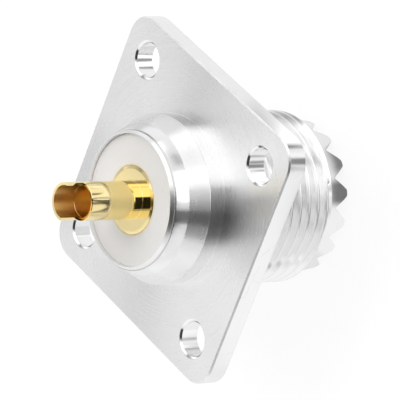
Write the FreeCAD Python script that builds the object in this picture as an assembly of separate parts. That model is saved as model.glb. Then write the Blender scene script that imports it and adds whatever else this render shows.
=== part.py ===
import FreeCAD
import Part
import math
import os

# Square-flange coaxial panel socket, seen on its solder side.
# Frame: origin at the centre of the flange's rear face, +Z along the connector
# axis towards the solder cup, X and Y along the edges of the square flange.
# All sizes are in millimetres.

# Square flange and its four mounting holes
hole_spacing = 18.24
hole_radius = 1.6
hole_chamfer = 0.22
hole_to_edge = 3.58
flange_thickness = 2.0
flange_corner_radius = 2.5
flange_edge_break = 0.12

# Rear boss, turned to a taper and rolled over at its rim to trap the insulator
boss_radius = 7.73
boss_straight_height = 1.6
shoulder_radius = 6.86
shoulder_height = 3.34
lip_root_radius = 6.30
lip_root_height = 4.43
lip_crest_radius = 6.08
lip_crest_height = 4.86

# Barrel at the major diameter of its 5/8-24 thread, and the toothed mouth
thread_radius = 7.9375
thread_length = 10.65
mouth_ring_radius = 7.15
mouth_bore_radius = 6.35
mouth_length = 13.1
mouth_edge_break = 0.1
tooth_count = 16
tooth_height = 1.3
tooth_tip_round = 0.38
tooth_gullet_round = 0.12

# Insulator, pushed in from the rear against a step in the shell
insulator_radius = 6.28
insulator_nose_radius = 5.93
insulator_step_depth = 7.0
insulator_face_height = 4.40
insulator_rim_radius = 5.96
insulator_rim_drop = 0.40
insulator_recess = 5.3
insulator_nose_chamfer = 0.15
insulator_clearance = 0.02

# Centre contact: collar, solder cup and spring socket turned as one piece
collar_radius = 3.11
collar_thickness = 1.25
collar_proud = 0.07
collar_edge_width = 0.28
collar_clearance = 0.02
cup_radius = 1.75
cup_bore_radius = 1.5
cup_length = 12.0
cup_bore_depth = 5.0
cup_cut_length = 1.8
cup_cut_direction = 13.0
socket_radius = 2.6
socket_bore_radius = 2.0
socket_bore_depth = 10.5
socket_setback = 0.1
socket_lead_in = 0.25
socket_clearance = 0.05
slot_count = 4
slot_width = 0.5
slot_length = 6.5
drill_point_angle = 118.0

# Flange size and places along the axis, worked out from the sizes above
flange_side = hole_spacing + 2 * hole_to_edge
flange_front = -flange_thickness
thread_end = flange_front - thread_length
mouth_end = flange_front - mouth_length
insulator_front = mouth_end + insulator_recess
insulator_step = -insulator_step_depth
collar_face = insulator_face_height + collar_proud
collar_seat = collar_face - collar_thickness
socket_end = insulator_front + socket_setback

axis_start = FreeCAD.Vector(0, 0, 0)
axis_direction = FreeCAD.Vector(0, 0, 1)


def turned(profile):
    """Turn a closed outline of (radius, height) corners about the connector axis."""
    corners = [FreeCAD.Vector(radius, 0, height) for radius, height in profile]
    outline = Part.makePolygon(corners + corners[:1])
    return Part.Face(outline).revolve(axis_start, axis_direction, 360)


def drilled(radius, mouth, depth, into):
    """Make a drilled hole's volume: a bore with the drill's conical point at its end.

    mouth is the height of the open end, and into is +1 or -1 for the way the drill goes.
    """
    point = radius / math.tan(math.radians(drill_point_angle / 2))
    bottom = mouth + into * depth
    return turned([(0, mouth), (radius, mouth), (radius, bottom), (0, bottom + into * point)])


def around_axis(shape, count):
    """Copy a shape to count equal turns about the connector axis."""
    copies = []
    for index in range(count):
        copy = shape.copy()
        copy.rotate(axis_start, axis_direction, index * 360.0 / count)
        copies.append(copy)
    return copies


def flange_plate():
    """Square plate with round corners, and the sharp edge broken on both faces."""
    half = flange_side / 2
    plate = Part.makeBox(flange_side, flange_side, flange_thickness, FreeCAD.Vector(-half, -half, flange_front))
    upright = [edge for edge in plate.Edges if abs(edge.BoundBox.ZLength - flange_thickness) < 1e-6]
    plate = plate.makeFillet(flange_corner_radius, upright)
    rims = [edge for edge in plate.Edges if edge.BoundBox.ZLength < 1e-6]
    return plate.makeChamfer(flange_edge_break, rims)


def mounting_holes():
    """Four through holes on the square pattern, chamfered on both faces of the flange."""
    wide = hole_radius + hole_chamfer
    bottom = flange_front
    half = hole_spacing / 2
    hole = turned([
        (0, bottom),
        (wide, bottom),
        (hole_radius, bottom + hole_chamfer),
        (hole_radius, -hole_chamfer),
        (wide, 0),
        (0, 0),
    ])
    holes = []
    for across in (-half, half):
        for along in (-half, half):
            copy = hole.copy()
            copy.translate(FreeCAD.Vector(across, along, 0))
            holes.append(copy)
    return holes


def turned_body():
    """Boss, barrel and mouth ring as one turned solid, with no bore yet."""
    return turned([
        (0, mouth_end),
        (mouth_ring_radius - mouth_edge_break, mouth_end),
        (mouth_ring_radius, mouth_end + mouth_edge_break),
        (mouth_ring_radius, thread_end - (thread_radius - mouth_ring_radius)),
        (thread_radius, thread_end),
        (thread_radius, flange_front / 2),
        (boss_radius, flange_front / 2),
        (boss_radius, boss_straight_height),
        (shoulder_radius, shoulder_height),
        (lip_root_radius, lip_root_height),
        (lip_crest_radius, lip_crest_height),
        (0, lip_crest_height),
    ])


def shell_bore():
    """Space inside the shell: plug mouth, nose bore, insulator bore and the rolled lip's inside."""
    seat_radius = insulator_radius + insulator_clearance
    nose_radius = insulator_nose_radius + insulator_clearance
    lip_radius = insulator_rim_radius + insulator_clearance
    lip_round = lip_crest_radius - lip_radius
    return turned([
        (0, mouth_end),
        (mouth_bore_radius + mouth_edge_break, mouth_end),
        (mouth_bore_radius, mouth_end + mouth_edge_break),
        (mouth_bore_radius, insulator_front),
        (nose_radius, insulator_front),
        (nose_radius, insulator_step),
        (seat_radius, insulator_step),
        (seat_radius, insulator_face_height - insulator_rim_drop),
        (lip_radius, insulator_face_height),
        (lip_radius, lip_crest_height - lip_round),
        (lip_crest_radius, lip_crest_height),
        (0, lip_crest_height),
    ])


def gullet():
    """One gullet between two mouth teeth, as a radial prism along +X.

    Its section has straight flanks between a rounded bottom and the rounded shoulders of the
    two teeth, and just fills the tooth spacing at the bore. The flank angle from the axis
    solves L sin(a) + s cos(a) = w and L cos(a) + s (1 - sin(a)) = h, with w the half width,
    h the tooth height, s the sum of the two radii and L the flank's length.
    """
    half_width = mouth_bore_radius * math.tan(math.pi / tooth_count)
    rounds = tooth_tip_round + tooth_gullet_round
    reach = math.hypot(half_width, tooth_height - rounds)
    flank = math.acos(rounds / reach) - math.atan2(tooth_height - rounds, half_width)
    bottom = mouth_end + tooth_height
    middle = (math.pi / 2 - flank) / 2

    def section_point(side, centre_y, centre_z, radius, turn):
        return FreeCAD.Vector(0, side * (centre_y + radius * math.sin(turn)), centre_z + radius * math.cos(turn))

    def gullet_point(side, turn):
        return section_point(side, 0, bottom - tooth_gullet_round, tooth_gullet_round, turn)

    def tip_point(side, turn):
        return section_point(side, half_width, mouth_end + tooth_tip_round, -tooth_tip_round, turn)

    full = 2 * middle
    edges = [Part.Arc(gullet_point(-1, full), gullet_point(-1, 0), gullet_point(1, full)).toShape()]
    for side in (1, -1):
        edges.append(Part.LineSegment(gullet_point(side, full), tip_point(side, full)).toShape())
        edges.append(Part.Arc(tip_point(side, full), tip_point(side, middle), tip_point(side, 0)).toShape())
    edges.append(Part.LineSegment(tip_point(1, 0), tip_point(-1, 0)).toShape())
    outline = Part.Wire(Part.__sortEdges__(edges))
    return Part.Face(outline).extrude(FreeCAD.Vector(mouth_ring_radius + tooth_height, 0, 0))


def make_shell():
    """One-piece plated shell: flange, boss with rolled lip, threaded barrel and toothed mouth."""
    shell = flange_plate().fuse(turned_body())
    shell = shell.cut(mounting_holes())
    shell = shell.cut(shell_bore())
    shell = shell.cut(around_axis(gullet(), tooth_count))
    return shell.removeSplitter()


def make_insulator():
    """Insulator: a stepped round body that fills the shell and holds the centre contact."""
    tube_radius = socket_radius + socket_clearance
    recess_radius = collar_radius + collar_clearance
    return turned([
        (tube_radius, insulator_front),
        (insulator_nose_radius - insulator_nose_chamfer, insulator_front),
        (insulator_nose_radius, insulator_front + insulator_nose_chamfer),
        (insulator_nose_radius, insulator_step),
        (insulator_radius, insulator_step),
        (insulator_radius, insulator_face_height - insulator_rim_drop),
        (insulator_rim_radius, insulator_face_height),
        (recess_radius, insulator_face_height),
        (recess_radius, collar_seat),
        (tube_radius, collar_seat),
    ])


def cup_cut():
    """Volume cut from the end of the solder cup to leave half of its wall standing."""
    reach = 2 * cup_radius
    block = Part.makeBox(reach, 2 * reach, 2 * cup_cut_length, FreeCAD.Vector(0, -reach, cup_length - cup_cut_length))
    block.rotate(axis_start, axis_direction, cup_cut_direction)
    return block


def socket_slots():
    """Saw slots that split the spring socket's wall into fingers."""
    slot = Part.makeBox(
        2 * socket_radius,
        slot_width,
        slot_length,
        FreeCAD.Vector(socket_bore_radius / 2, -slot_width / 2, socket_end),
    )
    slots = around_axis(slot, slot_count)
    for cut in slots:
        cut.rotate(axis_start, axis_direction, 180.0 / slot_count)
    return slots


def make_centre_contact():
    """Centre contact: solder cup and flat collar at the rear, slotted spring socket at the front."""
    contact = turned([
        (0, socket_end),
        (socket_radius, socket_end),
        (socket_radius, collar_seat),
        (collar_radius, collar_seat),
        (collar_radius, insulator_face_height),
        (collar_radius - collar_edge_width, collar_face),
        (cup_radius, collar_face),
        (cup_radius, cup_length),
        (0, cup_length),
    ])
    lead_in = turned([
        (0, socket_end),
        (socket_bore_radius + socket_lead_in, socket_end),
        (socket_bore_radius, socket_end + socket_lead_in),
        (0, socket_end + socket_lead_in),
    ])
    contact = contact.cut([
        drilled(cup_bore_radius, cup_length, cup_bore_depth, -1),
        drilled(socket_bore_radius, socket_end, socket_bore_depth, 1),
        lead_in,
        cup_cut(),
    ])
    return contact.cut(socket_slots())


nodes = {
    "shell": make_shell(),
    "insulator": make_insulator(),
    "centre_contact": make_centre_contact(),
}

os.makedirs("parts", exist_ok=True)
for name, shape in nodes.items():
    solid = shape.Solids[0] if len(shape.Solids) == 1 else shape
    solid.exportStep("parts/" + name + ".step")
    print(name, "solids", len(shape.Solids), "valid", shape.isValid(), "volume", round(shape.Volume, 2))
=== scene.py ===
import logging
import math
from collections.abc import Sequence
from dataclasses import dataclass
from enum import Enum
from typing import ClassVar

import bpy
import numpy as np
from mathutils import Matrix, Vector


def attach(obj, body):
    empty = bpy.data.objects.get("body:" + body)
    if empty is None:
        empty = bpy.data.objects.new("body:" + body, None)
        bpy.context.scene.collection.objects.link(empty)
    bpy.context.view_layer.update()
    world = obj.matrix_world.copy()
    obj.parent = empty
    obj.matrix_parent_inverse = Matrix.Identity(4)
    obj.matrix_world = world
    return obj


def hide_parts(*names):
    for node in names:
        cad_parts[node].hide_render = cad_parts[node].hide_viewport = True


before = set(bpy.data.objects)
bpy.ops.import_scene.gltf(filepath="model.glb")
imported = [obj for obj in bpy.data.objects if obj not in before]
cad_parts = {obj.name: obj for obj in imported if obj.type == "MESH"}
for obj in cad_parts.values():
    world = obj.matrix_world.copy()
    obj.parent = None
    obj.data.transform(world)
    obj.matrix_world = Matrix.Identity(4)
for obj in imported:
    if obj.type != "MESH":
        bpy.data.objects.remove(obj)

# Square-flange coaxial panel socket, dressed for a studio picture of its solder side.
# Sizes are in millimetres in the part's own frame: the origin is the centre of the flange's
# rear face, +Z runs along the connector axis towards the solder cup, and X and Y run along
# the flange's edges. Meshes are turned into metres only when they are made.

LOG = logging.getLogger("panel_socket")
METRE = 0.001
WELD = 1e-4
WELD_OFFSET = 0.37139
BODY = "root"
FULL_TURN = 2.0 * math.pi

Corner = tuple[float, float, float]
Colour = tuple[float, float, float]


# Surfaces


def unit(vector: np.ndarray) -> np.ndarray:
    """Scale a vector, or each row of an array of vectors, to length one."""
    return vector / np.linalg.norm(vector, axis=-1, keepdims=True)


def rounded_profile(corners: Sequence[Corner], closed: bool = False, steps: int = 4,
                    hold: float = 0.02) -> np.ndarray:
    """Round the corners of an outline in the plane of radius and height.

    Each corner with a rounding radius R becomes an arc whose centre lies on the corner's
    bisector, R / sin(half the corner's angle) away. A holding point a little way past each
    end of the arc keeps the faces beside it flat.

    Args:
        corners: (radius, height, rounding radius) of each corner in order.
        closed: True if the last corner joins the first one.
        steps: Number of parts that each arc is divided into.
        hold: Distance from an arc's end to its holding point.

    Returns:
        An array of (radius, height) points.
    """
    points = np.array([corner[:2] for corner in corners], float)
    count = len(points)
    pieces = []
    for index, (*_, radius) in enumerate(corners):
        here = points[index]
        if radius <= 0 or (not closed and index in (0, count - 1)):
            pieces.append(here[None])
            continue
        before = unit(points[index - 1] - here)
        after = unit(points[(index + 1) % count] - here)
        half = 0.5 * math.acos(float(np.clip(before @ after, -1.0, 1.0)))
        reach = radius / math.tan(half)
        centre = here + unit(before + after) * radius / math.sin(half)
        turn = math.pi - 2.0 * half
        share = np.linspace(0.0, 1.0, steps + 1)[:, None]
        start = here + before * reach - centre
        end = here + after * reach - centre
        arc = centre + (np.sin((1.0 - share) * turn) * start + np.sin(share * turn) * end) / math.sin(turn)
        pieces += [(here + before * (reach + hold))[None], arc, (here + after * (reach + hold))[None]]
    return np.concatenate(pieces)


def joined(radius: np.ndarray, angle: np.ndarray, height: np.ndarray) -> np.ndarray:
    """Turn radius, angle and height about the connector axis into points: (r cos a, r sin a, z)."""
    radius, angle, height = np.broadcast_arrays(radius, angle, height)
    return np.stack([radius * np.cos(angle), radius * np.sin(angle), height], axis=-1)


def circle(angles: np.ndarray) -> np.ndarray:
    """(x, y) on the unit circle at each angle."""
    return np.stack([np.cos(angles), np.sin(angles)], axis=-1)


def revolved(profile: np.ndarray, angles: np.ndarray) -> np.ndarray:
    """Turn a profile about the connector axis: each profile point goes round at every angle."""
    return joined(profile[:, 0, None], angles[None, :], profile[:, 1, None])


def whole_turn(count: int) -> np.ndarray:
    """Equal angles from 0 to a full turn, with both ends."""
    return np.linspace(0.0, FULL_TURN, count + 1)


class Skin:
    """Grids of points that are joined into one closed mesh wherever their borders meet."""

    def __init__(self) -> None:
        """Start with no surface."""
        self.points: list[np.ndarray] = []
        self.corners: list[np.ndarray] = []
        self.finishes: list[np.ndarray] = []
        self.count = 0

    def add(self, grid: np.ndarray, finish: int, flip: bool = False) -> None:
        """Add one surface.

        A cell's outward side is the one that (next row) x (next column) points to.

        Args:
            grid: Points as (rows, columns, 3).
            finish: Index of the finish among the piece's materials.
            flip: True to turn the outward side round.
        """
        rows, columns = grid.shape[:2]
        index = np.arange(rows * columns).reshape(rows, columns) + self.count
        corners = (index[:-1, :-1], index[1:, :-1], index[1:, 1:], index[:-1, 1:])
        quads = np.stack(corners, axis=-1).reshape(-1, 4)
        self.points.append(grid.reshape(-1, 3))
        self.corners.append(quads[:, ::-1] if flip else quads)
        self.finishes.append(np.full(len(quads), finish, np.int32))
        self.count += rows * columns

    def make(self, name: str, materials: Sequence[bpy.types.Material], crease: float) -> bpy.types.Object:
        """Join the surfaces into one object.

        Points that fall in the same cube of a tenth of a micrometre become one vertex. The
        cubes are shifted so that no round number lies on their border. A cell that has lost a
        corner becomes a triangle, and one that has lost more is left out.

        Args:
            name: Name of the object.
            materials: Finishes in the order of the indices that add() was given.
            crease: Edges sharper than this angle in degrees stay sharp in the shading.

        Returns:
            The new object.
        """
        points = np.concatenate(self.points)
        quads = np.concatenate(self.corners)
        cells = np.floor(points / WELD + WELD_OFFSET).astype(np.int64)
        _, first, inverse = np.unique(cells, axis=0, return_index=True, return_inverse=True)
        faces = inverse.reshape(-1)[quads]
        kept = faces != np.roll(faces, -1, axis=1)
        sides = kept.sum(axis=1)
        whole = sides >= 3
        faces, kept, sides = faces[whole], kept[whole], sides[whole]
        mesh = bpy.data.meshes.new(name)
        mesh.vertices.add(len(first))
        mesh.vertices.foreach_set("co", (points[first] * METRE).astype(np.float32).ravel())
        mesh.loops.add(int(sides.sum()))
        mesh.loops.foreach_set("vertex_index", faces[kept].astype(np.int32))
        mesh.polygons.add(len(sides))
        mesh.polygons.foreach_set("loop_start", (np.cumsum(sides) - sides).astype(np.int32))
        mesh.polygons.foreach_set("material_index", np.concatenate(self.finishes)[whole])
        mesh.polygons.foreach_set("use_smooth", np.ones(len(sides), bool))
        for material in materials:
            mesh.materials.append(material)
        mesh.update(calc_edges=True)
        mesh.validate()
        mesh.set_sharp_from_angle(angle=math.radians(crease))
        piece = bpy.data.objects.new(name, mesh)
        bpy.context.scene.collection.objects.link(piece)
        return piece


def report(piece: bpy.types.Object) -> None:
    """Log a finished piece's name and its number of faces."""
    LOG.info("%s: %d faces", piece.name, len(piece.data.polygons))


# Finishes


class NodeNet:
    """Small helper that adds and joins shader nodes in one tree."""

    def __init__(self, tree: bpy.types.NodeTree) -> None:
        """Take an emptied node tree."""
        self.tree = tree
        tree.nodes.clear()

    def node(self, kind: str, inputs: dict[str | int, object] | None = None,
             **settings: object) -> bpy.types.Node:
        """Add a node.

        Args:
            kind: Blender's name of the node type.
            inputs: Value or output socket for each named or numbered input.
            **settings: Attributes of the node.

        Returns:
            The new node.
        """
        made = self.tree.nodes.new(kind)
        for name, value in settings.items():
            setattr(made, name, value)
        for name, value in (inputs or {}).items():
            self.feed(made.inputs[name], value)
        return made

    def feed(self, socket: bpy.types.NodeSocket, value: object) -> None:
        """Join an output to a socket, or set the socket's value."""
        if isinstance(value, bpy.types.NodeSocket):
            self.tree.links.new(value, socket)
        else:
            socket.default_value = value

    def math(self, operation: str, *values: object) -> bpy.types.NodeSocket:
        """Add a Math node and give its output."""
        return self.node("ShaderNodeMath", dict(enumerate(values)), operation=operation).outputs[0]

    def vector(self, operation: str, *values: object, scale: object = None,
               output: str = "Vector") -> bpy.types.NodeSocket:
        """Add a Vector Math node, with a value or an output as its scale, and give the named output."""
        made = self.node("ShaderNodeVectorMath", dict(enumerate(values)), operation=operation)
        if scale is not None:
            self.feed(made.inputs["Scale"], scale)
        return made.outputs[output]

    def smooth(self, value: object, low: float, high: float, start: float = 0.0,
               end: float = 1.0) -> bpy.types.NodeSocket:
        """Ease from start to end while value goes from low to high."""
        made = self.node("ShaderNodeMapRange", {"Value": value, "From Min": low, "From Max": high,
                                                "To Min": start, "To Max": end},
                         interpolation_type="SMOOTHSTEP")
        return made.outputs["Result"]

    def noise(self, vector: object, scale: float, detail: float = 2.0,
              roughness: float = 0.5) -> bpy.types.NodeSocket:
        """Add a three-dimensional noise and give its value between 0 and 1."""
        made = self.node("ShaderNodeTexNoise", {"Vector": vector, "Scale": scale, "Detail": detail,
                                                "Roughness": roughness})
        return made.outputs["Fac"]

    def blend(self, share: object, first: object, second: object) -> bpy.types.NodeSocket:
        """Mix two colours by a share between 0 and 1."""
        made = self.node("ShaderNodeMix", data_type="RGBA")
        self.feed(made.inputs[0], share)
        self.feed(made.inputs[6], first)
        self.feed(made.inputs[7], second)
        return made.outputs[2]

    def place(self) -> bpy.types.NodeSocket:
        """Give the shaded point's place on its object, in millimetres."""
        return self.vector("SCALE", self.node("ShaderNodeTexCoord").outputs["Object"], scale=1.0 / METRE)

    def about_one(self, value: object, spread: float) -> bpy.types.NodeSocket:
        """Turn a value from 0 to 1 into one from 1 - spread to 1 + spread."""
        return self.math("MULTIPLY_ADD", value, 2.0 * spread, 1.0 - spread)

    def spots(self, place: object, density: float, inner: float, outer: float,
              empty: float) -> bpy.types.NodeSocket:
        """Give 1 in small round spots and 0 elsewhere.

        Args:
            place: Place in millimetres.
            density: Cells to the millimetre, each with room for one spot.
            inner: Distance from a spot's middle, in cells, where it starts to fade.
            outer: Distance where it has faded.
            empty: Share of the cells that have no spot.

        Returns:
            The output of the spots.
        """
        cells = self.node("ShaderNodeTexVoronoi", {"Vector": place, "Scale": density}, feature="F1")
        near = self.smooth(cells.outputs["Distance"], inner, outer, 1.0, 0.0)
        chance = self.node("ShaderNodeSeparateColor", {0: cells.outputs["Color"]}).outputs[0]
        return self.math("MULTIPLY", near, self.math("GREATER_THAN", chance, empty))

    def bump(self, height: object, distance: float) -> bpy.types.NodeSocket:
        """Give the normal of a relief whose height times distance is in metres."""
        made = self.node("ShaderNodeBump", {"Strength": 1.0, "Distance": distance, "Height": height})
        return made.outputs[0]

    def surface(self, inputs: dict[str | int, object]) -> None:
        """Add a Principled shader with these inputs as the material's surface."""
        shader = self.node("ShaderNodeBsdfPrincipled", inputs)
        self.node("ShaderNodeOutputMaterial", {"Surface": shader.outputs[0]})


def new_material(name: str) -> tuple[bpy.types.Material, NodeNet]:
    """Make a material, and give it with the net of its shader nodes."""
    made = bpy.data.materials.new(name)
    made.use_nodes = True
    return made, NodeNet(made.node_tree)


def opaque(colour: Colour, level: float = 1.0) -> tuple[float, float, float, float]:
    """Give a colour at a level of brightness, with full alpha."""
    return (colour[0] * level, colour[1] * level, colour[2] * level, 1.0)


@dataclass(frozen=True)
class TurnedMetal:
    """Plated metal with the fine lines that a lathe leaves round the connector axis.

    The lines are noise in a space whose first axis is radius plus a share of height, in
    millimetres, and whose other axes are the direction round the axis, so that each line
    is a long arc.
    """

    name: str
    colour: Colour
    roughness: float
    anisotropy: float
    line_height: float
    fine_height: float = 0.0
    grain_height: float = 0.0
    line_density: float = 5.0
    line_length: float = 3.0
    fine_density: float = 11.0
    fine_length: float = 40.0
    grain_density: float = 9.0
    cloud_density: float = 0.35
    line_shade: float = 0.05
    cloud_shade: float = 0.03
    speck_shade: float = 0.35
    speck_spacing: float = 1.3
    speck_inner: float = 0.015
    speck_outer: float = 0.045
    speck_empty: float = 0.7
    height_share: float = 0.73
    rough_least: float = 0.82
    rough_by_line: float = 0.35
    rough_by_grain: float = 0.1

    @staticmethod
    def lines(net: NodeNet, across: object, around: object, density: float,
              length: float) -> bpy.types.NodeSocket:
        """Give noise that is drawn out round the axis.

        Args:
            net: Shader nodes of the finish.
            across: Distance across the lines in millimetres.
            around: Direction from the axis, of length one.
            density: Lines to the millimetre.
            length: Changes of the noise along one radian of a line.

        Returns:
            The output of the noise.
        """
        lead = net.node("ShaderNodeCombineXYZ", {"Z": net.math("MULTIPLY", across, density)}).outputs[0]
        place = net.vector("ADD", net.vector("SCALE", around, scale=length), lead)
        return net.noise(place, 1.0, detail=3.0, roughness=0.65)

    def material(self) -> bpy.types.Material:
        """Build the finish as a material."""
        made, net = new_material(self.name)
        place = net.place()
        flat = net.vector("MULTIPLY", place, (1.0, 1.0, 0.0))
        radius = net.vector("LENGTH", flat, output="Value")
        around = net.vector("NORMALIZE", flat)
        height = net.node("ShaderNodeSeparateXYZ", {0: place}).outputs["Z"]
        across = net.math("MULTIPLY_ADD", height, self.height_share, radius)
        lines = self.lines(net, across, around, self.line_density, self.line_length)
        fine = self.lines(net, across, around, self.fine_density, self.fine_length)
        clouds = net.noise(place, self.cloud_density)
        grain = net.noise(place, self.grain_density)
        specks = net.spots(place, 1.0 / self.speck_spacing, self.speck_inner, self.speck_outer,
                           self.speck_empty)
        shade = net.math("MULTIPLY", net.about_one(lines, self.line_shade),
                         net.about_one(clouds, self.cloud_shade))
        shade = net.math("MULTIPLY", shade, net.math("MULTIPLY_ADD", specks, -self.speck_shade, 1.0))
        rough = net.math("MULTIPLY_ADD", lines, self.rough_by_line * self.roughness,
                         self.rough_least * self.roughness)
        rough = net.math("MULTIPLY_ADD", grain, self.rough_by_grain * self.roughness, rough)
        relief = net.math("MULTIPLY", lines, self.line_height)
        relief = net.math("MULTIPLY_ADD", fine, self.fine_height, relief)
        relief = net.math("MULTIPLY_ADD", grain, self.grain_height, relief)
        net.surface({
            "Base Color": net.vector("SCALE", self.colour, scale=shade),
            "Metallic": 1.0,
            "Roughness": rough,
            "Anisotropic": self.anisotropy,
            "Anisotropic Rotation": 0.25,
            "Tangent": net.vector("CROSS_PRODUCT", (0.0, 0.0, 1.0), around),
            "Normal": net.bump(relief, METRE),
        })
        return made


@dataclass(frozen=True)
class PlainMetal:
    """Plated metal without lathe lines: soft clouds, fine grain and a few thin scratches."""

    name: str
    colour: Colour
    roughness: float
    grain_height: float = 0.0004
    grain_density: float = 14.0
    grain_stretch: tuple[float, float, float] = (1.0, 1.0, 1.0)
    cloud_density: float = 0.6
    cloud_shade: float = 0.03
    scratch_shade: float = 0.12
    scratch_density: float = 0.33
    scratch_width: float = 0.012
    scratch_bend: float = 1.2
    bend_density: float = 0.5
    scratched_density: float = 0.45
    scratched_from: float = 0.55
    scratched_full: float = 0.62
    rough_least: float = 0.85
    rough_by_cloud: float = 0.3

    def material(self) -> bpy.types.Material:
        """Build the finish as a material."""
        made, net = new_material(self.name)
        place = net.place()
        clouds = net.noise(place, self.cloud_density, detail=3.0)
        grain = net.noise(net.vector("MULTIPLY", place, self.grain_stretch), self.grain_density)
        bend = net.node("ShaderNodeTexNoise", {"Vector": place, "Scale": self.bend_density}).outputs["Color"]
        bent = net.vector("ADD", place, net.vector("SCALE", bend, scale=self.scratch_bend))
        cells = net.node("ShaderNodeTexVoronoi", {"Vector": bent, "Scale": self.scratch_density},
                         feature="DISTANCE_TO_EDGE")
        scratch = net.smooth(cells.outputs["Distance"], 0.0, self.scratch_width, 1.0, 0.0)
        scratched = net.noise(place, self.scratched_density)
        scratched = net.smooth(scratched, self.scratched_from, self.scratched_full)
        scratch = net.math("MULTIPLY", scratch, scratched)
        shade = net.math("MULTIPLY", net.about_one(clouds, self.cloud_shade),
                         net.math("MULTIPLY_ADD", scratch, -self.scratch_shade, 1.0))
        rough = net.math("MULTIPLY_ADD", clouds, self.rough_by_cloud * self.roughness,
                         self.rough_least * self.roughness)
        net.surface({
            "Base Color": net.vector("SCALE", self.colour, scale=shade),
            "Metallic": 1.0,
            "Roughness": rough,
            "Normal": net.bump(grain, self.grain_height * METRE),
        })
        return made


@dataclass(frozen=True)
class WhitePlastic:
    """Matt white fluoropolymer that lets a little light through.

    Its colour carries a painted gold glow close to the contact's collar and a painted brown
    shade close to the rolled lip, both by distance from the connector axis in millimetres.
    """

    name: str
    colour: Colour = (0.745, 0.735, 0.725)
    # Painted light: the plastic is tinted gold near the collar, as if lit by it.
    glow: Colour = (0.80, 0.66, 0.40)
    # Painted shade: a thin darker brown band on the plastic inside the lip.
    rim: Colour = (0.72, 0.62, 0.42)
    collar_radius: float = 3.11
    painted_glow_reach: float = 0.38
    painted_glow_share: float = 0.55
    rim_radius: float = 5.96
    painted_rim_shade_reach: float = 0.06
    painted_rim_shade_share: float = 0.08
    cloud_density: float = 0.5
    cloud_dark: float = 0.975
    cloud_light: float = 1.02
    grain_density: float = 22.0
    grain_height: float = 0.0015
    pit_density: float = 0.55
    pit_inner: float = 0.02
    pit_outer: float = 0.05
    pit_empty: float = 0.55
    pit_share: float = 0.35
    pit_dark: float = 0.55

    def material(self) -> bpy.types.Material:
        """Build the finish as a material."""
        made, net = new_material(self.name)
        place = net.place()
        radius = net.vector("LENGTH", net.vector("MULTIPLY", place, (1.0, 1.0, 0.0)), output="Value")
        clouds = net.noise(place, self.cloud_density)
        grain = net.noise(place, self.grain_density)
        # Painted gold glow, strongest at the collar's edge and fading outwards.
        painted_glow_end = self.collar_radius + self.painted_glow_reach
        painted_collar_glow = net.smooth(radius, self.collar_radius, painted_glow_end, self.painted_glow_share, 0.0)
        # Painted shade that darkens the plastic towards the lip's inner wall.
        painted_lip_shade = net.smooth(radius, self.rim_radius - self.painted_rim_shade_reach, self.rim_radius, 0.0, self.painted_rim_shade_share)
        pits = net.spots(place, self.pit_density, self.pit_inner, self.pit_outer, self.pit_empty)
        body = net.blend(clouds, opaque(self.colour, self.cloud_dark), opaque(self.colour, self.cloud_light))
        body = net.blend(painted_collar_glow, body, opaque(self.glow))
        body = net.blend(painted_lip_shade, body, opaque(self.rim))
        body = net.blend(net.math("MULTIPLY", pits, self.pit_share), body, opaque(self.colour, self.pit_dark))
        net.surface({
            "Base Color": body,
            "Roughness": 0.5,
            "Specular IOR Level": 0.3,
            "Subsurface Weight": 0.25,
            "Subsurface Radius": (1.0, 0.85, 0.7),
            "Subsurface Scale": 0.5 * METRE,
            "Normal": net.bump(grain, self.grain_height * METRE),
        })
        return made


SILVER: Colour = (0.93, 0.93, 0.935)
GOLD: Colour = (0.95, 0.79, 0.41)
SATIN_GOLD: Colour = (1.0, 0.81, 0.37)
BORE_GOLD: Colour = (0.98, 0.67, 0.24)


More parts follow.
